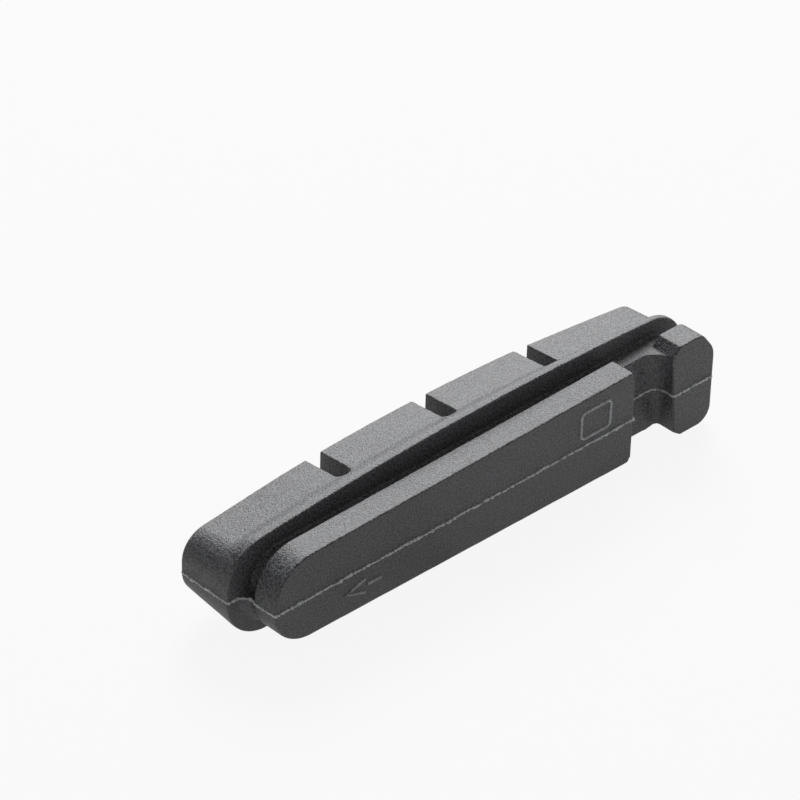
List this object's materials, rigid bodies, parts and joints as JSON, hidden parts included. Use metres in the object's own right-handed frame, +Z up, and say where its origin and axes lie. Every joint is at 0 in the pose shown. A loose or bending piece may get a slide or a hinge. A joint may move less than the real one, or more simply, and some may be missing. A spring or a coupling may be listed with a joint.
{
  "type": "rim brake pad",
  "caption": "Moulded rubber insert for a bicycle rim brake: slotted blocks that meet the rim, a rail that slides into the shoe and a notch for the screw.",
  "frame": {"origin": "centre of the overall box on its lowest level, under the flange", "axes": "+X along the pad from the half-round nose to the hook, +Y out of the braking face, +Z up from the straight lower edge to the arched top"},
  "size_m": [0.055, 0.0098, 0.0111],
  "materials": {
    "pad_rubber": "matte moulded"
  },
  "bodies": {
    "root": {"brake_pad": "pad_rubber"}
  },
  "joints": []
}
